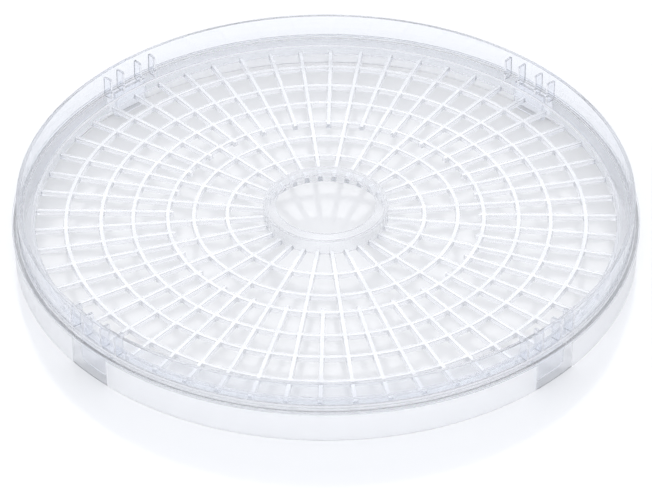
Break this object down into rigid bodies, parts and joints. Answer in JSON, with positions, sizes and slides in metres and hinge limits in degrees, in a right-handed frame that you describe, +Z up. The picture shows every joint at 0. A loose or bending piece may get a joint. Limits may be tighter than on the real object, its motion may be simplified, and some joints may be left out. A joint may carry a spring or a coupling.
{
  "type": "food dehydrator tray",
  "caption": "Round clear stackable drying tray with a radial and ring grille floor, a centre air hole, a stacking flange, upright stacking fins and skirt tabs.",
  "frame": {"origin": "centre of the tray, in the plane that its skirt stands on", "axes": "+Z up along the tray's round axis; one group of stacking fins lies between +X and +Y, and the others at each quarter turn from it"},
  "size_m": [0.33, 0.33, 0.0336],
  "materials": {
    "clear_plastic": "clear, polished, moulded"
  },
  "bodies": {
    "root": {"rim_wall": "clear_plastic", "stacking_flange": "clear_plastic", "skirt": "clear_plastic", "grille_ring": "clear_plastic", "grille_sector_1": "clear_plastic", "grille_sector_2": "clear_plastic", "grille_sector_3": "clear_plastic", "grille_sector_4": "clear_plastic", "grille_sector_5": "clear_plastic", "grille_sector_6": "clear_plastic", "grille_sector_7": "clear_plastic", "grille_sector_8": "clear_plastic", "hub_wall": "clear_plastic", "hub_cap": "clear_plastic", "fin_back_right_1": "clear_plastic", "fin_back_right_2": "clear_plastic", "fin_back_right_3": "clear_plastic", "fin_back_right_4": "clear_plastic", "tab_back_right": "clear_plastic", "fin_back_left_1": "clear_plastic", "fin_back_left_2": "clear_plastic", "fin_back_left_3": "clear_plastic", "fin_back_left_4": "clear_plastic", "tab_back_left": "clear_plastic", "fin_front_left_1": "clear_plastic", "fin_front_left_2": "clear_plastic", "fin_front_left_3": "clear_plastic", "fin_front_left_4": "clear_plastic", "tab_front_left": "clear_plastic", "fin_front_right_1": "clear_plastic", "fin_front_right_2": "clear_plastic", "fin_front_right_3": "clear_plastic", "fin_front_right_4": "clear_plastic", "tab_front_right": "clear_plastic"}
  },
  "joints": []
}
